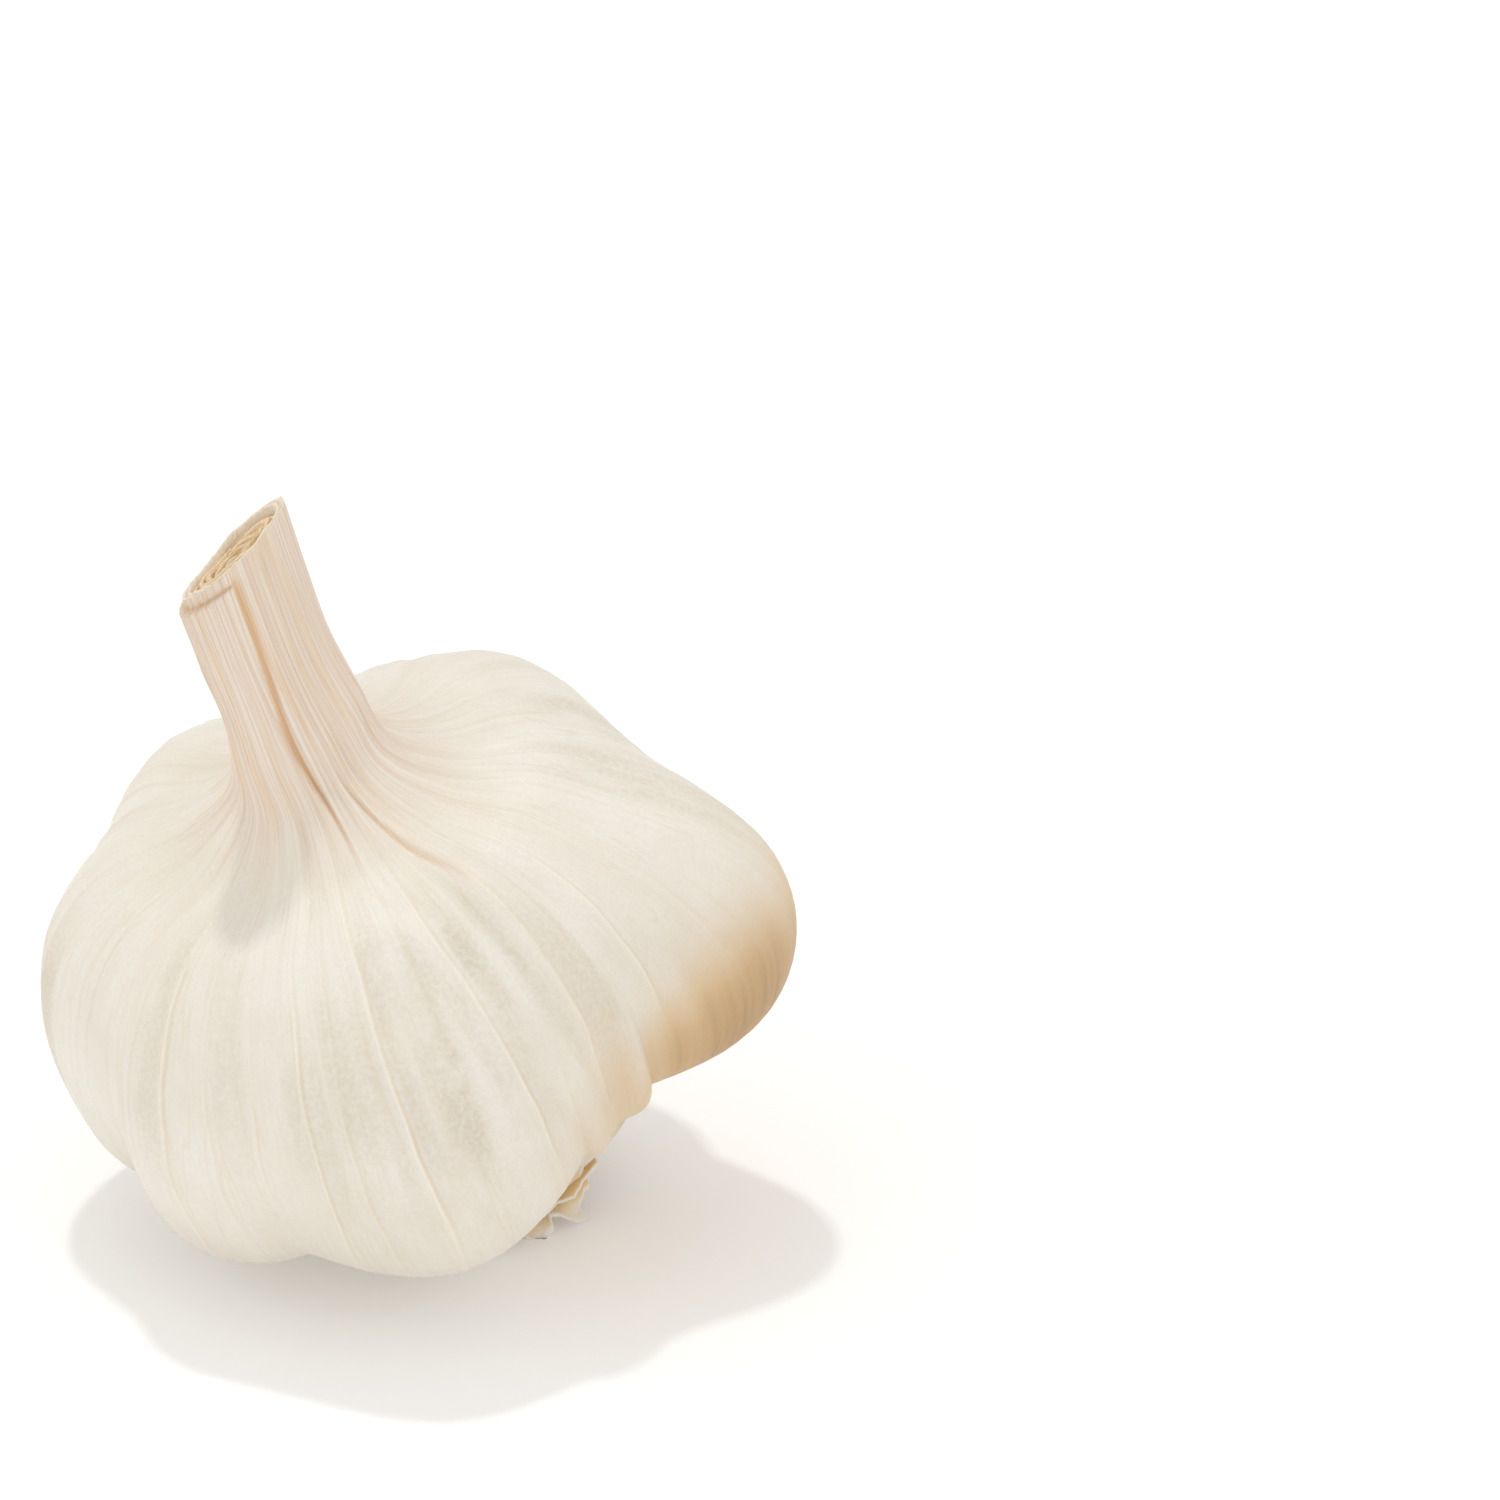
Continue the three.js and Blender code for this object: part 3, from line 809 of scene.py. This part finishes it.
# %% [markdown]
# Each finished piece rides on the bulb's only body and takes the place of its solid.

# %% Tie the pieces to the solids
for piece, node, slot in (
    (skin, "wrapped_bulb", "skin"),
    (short_hem, "wrapped_bulb", "skin"),
    (long_hem, "wrapped_bulb", "skin"),
    (core, "inner_sheaths", "straw"),
    (roots, "root_plate", "root"),
):
    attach(piece, "root")
    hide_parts(node)
    print(piece.name, "stands in for", node)

# %% [markdown]
# All finishes here are thin dry plant skin, which lets a little light through, so they share
# one kind of shader. The values that are the same all over are set on the shader itself. The
# few node helpers after it keep the recipes below short enough to read.

# %% Helpers for the finishes
SKIN_IOR = 1.42
GLOW_COLOUR = (1.0, 0.62, 0.38)
GLOW_DEPTH = 0.0014


def new_material(name, roughness, subsurface):
    """A material with its node tree and its shader."""
    material = bpy.data.materials.new(name)
    material.use_nodes = True
    tree = material.node_tree
    shader = tree.nodes["Principled BSDF"]
    shader.inputs["Roughness"].default_value = roughness
    shader.inputs["IOR"].default_value = SKIN_IOR
    shader.inputs["Subsurface Weight"].default_value = subsurface
    shader.inputs["Subsurface Radius"].default_value = GLOW_COLOUR
    shader.inputs["Subsurface Scale"].default_value = GLOW_DEPTH
    return material, tree, shader


def add_node(tree, kind, inputs=None, **settings):
    """Adds a node; an input is given a value or linked to a socket."""
    node = tree.nodes.new(kind)
    for key, value in settings.items():
        setattr(node, key, value)
    for key, value in (inputs or {}).items():
        if isinstance(value, bpy.types.NodeSocket):
            tree.links.new(value, node.inputs[key])
        else:
            node.inputs[key].default_value = value
    return node


def calculate(tree, operation, a, b=0.0):
    """One step of arithmetic."""
    return add_node(tree, "ShaderNodeMath", {0: a, 1: b}, operation=operation).outputs[0]


def scaled(tree, value, factor):
    """A value times a number or another value."""
    return calculate(tree, "MULTIPLY", value, factor)


def added(tree, first, second):
    """The sum of two values."""
    return calculate(tree, "ADD", first, second)


def apart_from(tree, value, middle):
    """How far a value is from a number, without its sign."""
    return calculate(tree, "ABSOLUTE", calculate(tree, "SUBTRACT", value, middle))


def rise(tree, value, start, end):
    """Rises smoothly from 0 at start to 1 at end."""
    inputs = {"Value": value, "From Min": start, "From Max": end}
    node = add_node(tree, "ShaderNodeMapRange", inputs, interpolation_type="SMOOTHSTEP")
    return node.outputs["Result"]


def blend(tree, share, under, over):
    """Lays one colour over another; a share of 1 hides the lower one."""
    inputs = {0: share, 6: under, 7: over}
    return add_node(tree, "ShaderNodeMix", inputs, data_type="RGBA").outputs[2]


def mark(tree, name):
    """A value that was stored in the mesh, such as how clear the skin is."""
    return add_node(tree, "ShaderNodeAttribute", attribute_name=name).outputs["Fac"]


def colour(red, green, blue):
    """A colour with full opacity."""
    return (red, green, blue, 1.0)


print("depth of the glow:", GLOW_DEPTH / MILLIMETRE, "mm")

# %% [markdown]
# Plant fibres run with the growth, and so must their streaks. Each wrapped sheet carries its
# growth map: across it is the turn round the bulb, up it is the row. Noise in the piece's
# own space would cut across the fibres. We turn the first into a cosine and a sine, so that
# streaks meet at the seam, and stretch the noise along the rows. Grain that has no direction
# stays in the piece's own space.

# %% Streaks, grain and fine relief
def growth_map(tree, row_count, first_row):
    """The row, and the cosine and sine of the turn round the bulb."""
    flat = add_node(tree, "ShaderNodeUVMap", uv_map="growth").outputs["UV"]
    parts = add_node(tree, "ShaderNodeSeparateXYZ", {0: flat})
    angle = scaled(tree, parts.outputs["X"], 2 * math.pi)
    row = added(tree, scaled(tree, parts.outputs["Y"], row_count), first_row)
    return row, calculate(tree, "COSINE", angle), calculate(tree, "SINE", angle)


def streaks(tree, growth, across, along, detail=2.0):
    """Noise drawn out along the growth: many changes across it and few along it."""
    row, cosine, sine = growth
    inputs = {
        "X": scaled(tree, cosine, across),
        "Y": scaled(tree, sine, across),
        "Z": scaled(tree, row, along),
    }
    place = add_node(tree, "ShaderNodeCombineXYZ", inputs).outputs[0]
    inputs = {"Vector": place, "Scale": 1.0, "Detail": detail, "Roughness": 0.55}
    return add_node(tree, "ShaderNodeTexNoise", inputs).outputs["Fac"]


def grain(tree, scale, detail=3.0):
    """Even noise in the piece's own space; the scale counts changes in a metre."""
    place = add_node(tree, "ShaderNodeTexCoord").outputs["Object"]
    inputs = {"Vector": place, "Scale": scale, "Detail": detail, "Roughness": 0.6}
    return add_node(tree, "ShaderNodeTexNoise", inputs).outputs["Fac"]


def emboss(tree, shader, height, strength, distance):
    """Adds fine relief to the shading."""
    inputs = {"Height": height, "Strength": strength, "Distance": distance}
    bump = add_node(tree, "ShaderNodeBump", inputs)
    tree.links.new(bump.outputs["Normal"], shader.inputs["Normal"])


print("rows in the skin's growth map:", rows[-1] - rows[0])

# %% [markdown]
# The papery skin is warm ivory with a slight blush. Where it has lifted off the clove it is
# greyish and clear, with a mottled bloom. One noise would give one even blotchiness, so
# clouds, blush and mottle each have their own size, and the clear patches follow their mark.

# %% The ivory of the cloves
IVORY = colour(0.80, 0.76, 0.67)
PALE_IVORY = colour(0.85, 0.82, 0.75)
BLUSH = colour(0.80, 0.70, 0.59)
CLEAR_GREY = colour(0.63, 0.56, 0.44)
MOTTLE = colour(0.73, 0.66, 0.54)


def ivory_tone(tree, growth, broad, speckle):
    """Ivory with a warm blush, clear patches and a mottled bloom."""
    tone = blend(tree, rise(tree, grain(tree, 60), 0.35, 0.65), IVORY, PALE_IVORY)
    blush = scaled(tree, rise(tree, streaks(tree, growth, 3, 0.25), 0.5, 0.68), 0.4)
    tone = blend(tree, blush, tone, BLUSH)
    mottle = rise(tree, speckle, 0.3, 0.7)
    clear = scaled(tree, mark(tree, "clear"), rise(tree, broad, 0.32, 0.6))
    clear = scaled(tree, clear, added(tree, scaled(tree, mottle, 0.5), 0.4))
    clear = scaled(tree, clear, rise(tree, grain(tree, 140), 0.22, 0.5))
    tone = blend(tree, clear, tone, CLEAR_GREY)
    return blend(tree, scaled(tree, mottle, 0.2), tone, MOTTLE)


print("ivory:", IVORY[:3])

# %% [markdown]
# Fine fibres and hairlines run up the skin. Each vein gets a pale painted highlight along its
# crest and a tan painted shadow along its steep side. A line painted on the vertices would be
# as coarse as the mesh, so both come from the stored distance to the vein.

# %% Hairlines, fibres, and the veins' painted highlights and shadows
HAIRLINE = colour(0.74, 0.58, 0.38)
FIBRE = colour(0.72, 0.62, 0.48)
# Colours of the veins' painted highlights and painted shadow
CREST_HIGHLIGHT = colour(0.93, 0.90, 0.81)
VEIN_SHADOW = colour(0.70, 0.53, 0.31)
VEIN_HIGHLIGHT = colour(0.95, 0.91, 0.82)
# Distances from the middle of a vein, in millimetres
LIGHT_END = 0.2
SHADE_MIDDLE = 0.26
SHADE_END = 0.3


def veined_tone(tree, tone, growth, fine):
    """Draws the lines on the tone, with painted highlights and shadows on the veins; the second
    value is the vein's highlight ridge.
    """
    off_hairline = apart_from(tree, streaks(tree, growth, 13, 0.25, 1), 0.5)
    hairline = rise(tree, off_hairline, 0.014, 0.0)
    tone = blend(tree, scaled(tree, hairline, 0.22), tone, HAIRLINE)
    tone = blend(tree, scaled(tree, rise(tree, fine, 0.45, 0.7), 0.14), tone, FIBRE)
    # Painted highlight on the crest of each vein
    crest = calculate(tree, "POWER", mark(tree, "crest"), 2.0)
    tone = blend(tree, scaled(tree, crest, 0.4), tone, CREST_HIGHLIGHT)
    beside = mark(tree, "beside")
    near = mark(tree, "near")
    # Painted highlight right on each vein and painted shadow along its steep side
    light = rise(tree, calculate(tree, "ABSOLUTE", beside), LIGHT_END, 0.05)
    highlight_ridge = scaled(tree, light, near)
    shade = scaled(tree, rise(tree, apart_from(tree, beside, SHADE_MIDDLE), SHADE_END, 0.03), near)
    tone = blend(tree, scaled(tree, shade, 0.5), tone, VEIN_SHADOW)
    return blend(tree, scaled(tree, highlight_ridge, 0.6), tone, VEIN_HIGHLIGHT), highlight_ridge


print("a vein's light line is", 2 * LIGHT_END, "mm wide")

# %% [markdown]
# Towards the stem the skin dries to pinkish beige with darker stripes, and in the slit the
# fibres beneath it are ochre, strongest right under the strip's edge as painted shade. The
# same ochre is painted as shade in the crease and as a shadow line above the strip's top. A
# second material would end in a hard line, so the dry colours take over little by little with
# the rows.

# %% The dry stem
DARK_BEIGE = colour(0.77, 0.62, 0.50)
PALE_BEIGE = colour(0.86, 0.77, 0.68)
BROAD_TAN = colour(0.82, 0.62, 0.43)
THIN_BROWN = colour(0.68, 0.49, 0.34)
# The slit's ochre, also painted as shade under the strip's edge and in the crease
SLIT_OCHRE_AND_SHADE = colour(0.72, 0.42, 0.19)
SLIT_FIBRE = colour(0.85, 0.63, 0.40)


def stem_tone(tree, tone, row, fine, broad, stripes):
    """Dries the tone to striped beige towards the cut, with ochre fibres and painted shade in the
    slit, the crease and above the strip.
    """
    beige = blend(tree, rise(tree, stripes, 0.38, 0.62), DARK_BEIGE, PALE_BEIGE)
    beige = blend(tree, scaled(tree, rise(tree, broad, 0.5, 0.66), 0.5), beige, BROAD_TAN)
    beige = blend(tree, rise(tree, fine, 0.5, 0.75), beige, THIN_BROWN)
    tone = blend(tree, rise(tree, row, 9.2, 12.4), tone, beige)
    # The slit mark: the sheath's own ochre fibres, plus painted shade under the strip's edge, in
    # the crease and above the strip's top
    fibres = blend(tree, rise(tree, fine, 0.4, 0.62), SLIT_OCHRE_AND_SHADE, SLIT_FIBRE)
    return blend(tree, scaled(tree, mark(tree, "slit"), 0.9), tone, fibres)


print("the skin is dry from row 12.4 up")

# %% [markdown]
# The lower skin is painted greyer as shade, the right clove gets painted shade in tan and
# brown where it turns under, and round the roots the skin is ochre, partly its own colour and
# partly painted shade of the root hollow. These tints come last because they lie over
# everything else. The cut edge and the socket inside it get their straw colours by row.

# %% Painted shade, root ochre and the cut edge
# Greyer low skin and the tan and brown under the right clove are painted shade; the root ochre is
# partly painted shade
LOW_SKIN_SHADE = colour(0.64, 0.57, 0.48)
UNDERSIDE_SHADE_TAN = colour(0.66, 0.46, 0.24)
UNDERSIDE_SHADE_BROWN = colour(0.46, 0.27, 0.105)
UNDERSIDE_SHADE_DARK = colour(0.37, 0.20, 0.07)
ROOT_OCHRE_AND_SHADE = colour(0.62, 0.42, 0.19)
CUT_EDGE = colour(0.88, 0.77, 0.63)
SOCKET_STRAW = colour(0.78, 0.55, 0.31)


def tinted_tone(tree, tone, row, fine, broad):
    """Lays the painted shade of the lower skin and of the right clove's underside, the ochre round
    the roots, and the colours of the cut over the tone.
    """
    # Painted shade: the skin turns greyer towards the bottom
    tone = blend(tree, scaled(tree, rise(tree, row, 7.2, 4.0), 0.42), tone, LOW_SKIN_SHADE)
    # Painted shade with warm reflected light where the right clove turns under, tan then brown
    underside_shade = mark(tree, "tan")
    brown = blend(tree, rise(tree, fine, 0.4, 0.7), UNDERSIDE_SHADE_BROWN, UNDERSIDE_SHADE_DARK)
    tan = blend(tree, rise(tree, underside_shade, 0.45, 1.0), UNDERSIDE_SHADE_TAN, brown)
    spread = rise(tree, added(tree, underside_shade, scaled(tree, broad, 0.3)), 0.1, 0.9)
    tone = blend(tree, scaled(tree, spread, 0.94), tone, tan)
    # Ochre round the roots: partly the skin's own colour, partly painted shade of the root hollow
    tone = blend(tree, rise(tree, row, 1.9, 0.3), tone, ROOT_OCHRE_AND_SHADE)
    tone = blend(tree, rise(tree, row, 14.95, 15.2), tone, CUT_EDGE)
    return blend(tree, rise(tree, row, 16.0, 16.6), tone, SOCKET_STRAW)


print("darkest stain:", UNDERSIDE_SHADE_DARK[:3])

# %% [markdown]
# Now the layers come together: ivory, lines, stem, tints. The same fibres, stripes and
# speckles that tint the skin also raise it a little, so each colour change catches the light.

# %% The papery skin
def papery_skin():
    """Ivory on the cloves, striped beige on the stem, and painted shade in tan and brown under the
    right clove.
    """
    material, tree, shader = new_material("papery garlic skin", 0.46, 0.12)
    growth = growth_map(tree, rows[-1] - rows[0], rows[0])
    row = growth[0]
    fine = streaks(tree, growth, 55, 0.5, 3)
    broad = streaks(tree, growth, 6, 0.35)
    stripes = streaks(tree, growth, 26, 0.16, 3)
    speckle = grain(tree, 2300, 4)

    tone = ivory_tone(tree, growth, broad, speckle)
    tone, highlight_ridge = veined_tone(tree, tone, growth, fine)
    tone = stem_tone(tree, tone, row, fine, broad, stripes)
    tone = tinted_tone(tree, tone, row, fine, broad)
    tree.links.new(tone, shader.inputs["Base Color"])

    height = added(tree, fine, scaled(tree, speckle, 0.7))
    height = added(tree, height, scaled(tree, highlight_ridge, 0.5))
    emboss(tree, shader, added(tree, height, stripes), 0.6, 0.00012)
    print(material.name, "has", len(tree.nodes), "nodes")
    return material


skin.data.materials.append(papery_skin())

# %% [markdown]
# The torn hems are the same skin, only older: ochre where they hold on to the root plate,
# partly their own colour and partly painted shade of the root hollow, cream at the flakes and
# pale along the ripped edge. The length of skin from the start of the hem tells these apart,
# with a little noise so that the borders aren't drawn with a rule.

# %% The torn skin
# The deepest ochre is partly painted shade of the root hollow
HEM_OCHRE_AND_SHADE = colour(0.60, 0.31, 0.08)
HEM_TAN = colour(0.78, 0.57, 0.30)
HEM_CREAM = colour(0.92, 0.86, 0.78)
HEM_SPECK = colour(0.84, 0.66, 0.42)
RIPPED_EDGE = colour(0.93, 0.87, 0.80)


def torn_skin():
    """Ochre near the roots, partly painted shade of the root hollow, cream further out and pale at
    the edge.
    """
    material, tree, shader = new_material("torn garlic skin", 0.5, 0.2)
    reach = added(tree, mark(tree, "length"), scaled(tree, grain(tree, 260), 1.6))
    # Deep ochre near the roots: the skin's own colour, darkened as painted shade of the root
    # hollow
    tone = blend(tree, rise(tree, reach, 2.2, 4.4), HEM_OCHRE_AND_SHADE, HEM_TAN)
    tone = blend(tree, rise(tree, reach, 4.3, 5.8), tone, HEM_CREAM)
    tone = blend(tree, scaled(tree, grain(tree, 1100), 0.25), tone, HEM_SPECK)
    tone = blend(tree, rise(tree, mark(tree, "along"), 0.88, 0.98), tone, RIPPED_EDGE)
    tree.links.new(tone, shader.inputs["Base Color"])
    emboss(tree, shader, grain(tree, 900), 0.4, 0.00015)
    print(material.name, "has", len(tree.nodes), "nodes")
    return material


hem_finish = torn_skin()
for piece in (short_hem, long_hem):
    piece.data.materials.append(hem_finish)

# %% [markdown]
# The cut sheaths are straw yellow, with the light fibres of each layer standing on a gap
# darkened as painted shade. The roots and their plate are brown and dull, like dry wood, with
# corky spots. Both are small in the picture, so two noises each are enough.

# %% The cut sheaths and the dry roots
STRAW = colour(0.88, 0.60, 0.33)
PALE_STRAW = colour(0.95, 0.78, 0.57)
# Painted shade between the layers
STRAW_GAP_SHADE = colour(0.82, 0.52, 0.26)
ROOT_BROWN = colour(0.30, 0.17, 0.07)
CORK = colour(0.56, 0.40, 0.22)


def cut_straw():
    """Straw fibres, with painted shade between the layers."""
    material, tree, shader = new_material("cut straw sheaths", 0.6, 0.2)
    fibres = streaks(tree, growth_map(tree, core_rows[-1], 0), 30, 1.2, 3)
    tone = blend(tree, rise(tree, fibres, 0.35, 0.65), STRAW, PALE_STRAW)
    # Painted shade in the gaps between the layers
    tone = blend(tree, scaled(tree, mark(tree, "deep"), 0.6), tone, STRAW_GAP_SHADE)
    tree.links.new(tone, shader.inputs["Base Color"])
    emboss(tree, shader, added(tree, fibres, grain(tree, 1800)), 0.7, 0.0002)
    print(material.name, "has", len(tree.nodes), "nodes")
    return material


def dry_root():
    """Dull brown with lighter corky spots."""
    material, tree, shader = new_material("dry root", 0.75, 0.0)
    tone = blend(tree, rise(tree, grain(tree, 700), 0.35, 0.7), ROOT_BROWN, CORK)
    tree.links.new(tone, shader.inputs["Base Color"])
    emboss(tree, shader, grain(tree, 1600), 0.6, 0.0002)
    print(material.name, "has", len(tree.nodes), "nodes")
    return material


core.data.materials.append(cut_straw())
roots.data.materials.append(dry_root())

# %% [markdown]
# The floor is a plain pale sheet. A very weak glow of its own keeps its shadow light, as on a
# sheet that is lit from all around.

# %% The floor
FLOOR_HALF = 3.0
floor_bm = bmesh.new()
bmesh.ops.create_grid(floor_bm, x_segments=1, y_segments=1, size=FLOOR_HALF)
floor = finish_mesh(floor_bm, "studio_floor")
floor_paper = bpy.data.materials.new("plain pale paper")
floor_paper.use_nodes = True
paper_shader = floor_paper.node_tree.nodes["Principled BSDF"]
paper_shader.inputs["Base Color"].default_value = colour(0.88, 0.88, 0.88)
paper_shader.inputs["Roughness"].default_value = 0.8
paper_shader.inputs["Emission Color"].default_value = colour(1.0, 0.98, 0.96)
paper_shader.inputs["Emission Strength"].default_value = 0.15
floor.data.materials.append(floor_paper)

# %% [markdown]
# The camera looks down at 25 degrees through a long lens from less than half a metre, and
# the bulb fills the lower left of the picture, as it does in the photograph. We could aim at
# the bulb and shift the lens, but sliding the whole camera keeps the sight lines simple.

# %% The camera
LOOK_DOWN = math.radians(25)
BULB_MIDDLE = PLACE + TILT @ Vector((0, 0, 19))
EYE_RIGHT = 30.32
EYE_UP = 18.6
EYE_BACK = 430
FOCAL_LENGTH = 121.78

right = Vector((1, 0, 0))
up = Vector((0, math.sin(LOOK_DOWN), math.cos(LOOK_DOWN)))
ahead = Vector((0, math.cos(LOOK_DOWN), -math.sin(LOOK_DOWN)))
eye = (BULB_MIDDLE + EYE_RIGHT * right + EYE_UP * up - EYE_BACK * ahead) * MILLIMETRE

lens = bpy.data.cameras.new("camera")
lens.lens = FOCAL_LENGTH
lens.sensor_width = 36
lens.clip_start = 0.01
camera = bpy.data.objects.new("camera", lens)
camera.matrix_world = Matrix.Translation(eye) @ Matrix((right, up, -ahead)).transposed().to_4x4()
bpy.context.scene.collection.objects.link(camera)
bpy.context.scene.camera = camera
print("camera at", eye)

# %% [markdown]
# The main light stands almost straight above and a little behind, so the stem throws a soft
# shadow down the neck. A pale surround and two wide weak lights keep every side bright. More
# lamps would add more shadows, and the bulb needs only this one.

# %% The lights
LIGHT_DISTANCE = 1.2
# Name, direction from the bulb, side of the square lamp in metres, and power in watts
LIGHTS = [
    ("overhead", (-0.1, 0.2, 0.97), 0.07, 3.3),
    ("left_fill", (-0.8, -0.5, 0.6), 1.0, 1.4),
    ("right_fill", (0.8, -0.6, 0.4), 1.0, 1.4),
]
for name, direction, size, power in LIGHTS:
    lamp = bpy.data.lights.new(name, "AREA")
    lamp.size = size
    lamp.energy = power
    holder = bpy.data.objects.new(name, lamp)
    direction = Vector(direction).normalized()
    place = Matrix.Translation(direction * LIGHT_DISTANCE + BULB_MIDDLE * MILLIMETRE)
    holder.matrix_world = place @ direction.to_track_quat("Z", "Y").to_matrix().to_4x4()
    bpy.context.scene.collection.objects.link(holder)

surround = bpy.data.worlds.new("surround")
surround.use_nodes = True
background = surround.node_tree.nodes["Background"]
background.inputs["Color"].default_value = colour(1.0, 0.99, 0.97)
background.inputs["Strength"].default_value = 0.78
bpy.context.scene.world = surround
bpy.context.scene.view_settings.view_transform = "Standard"
print("lights:", [light[0] for light in LIGHTS])
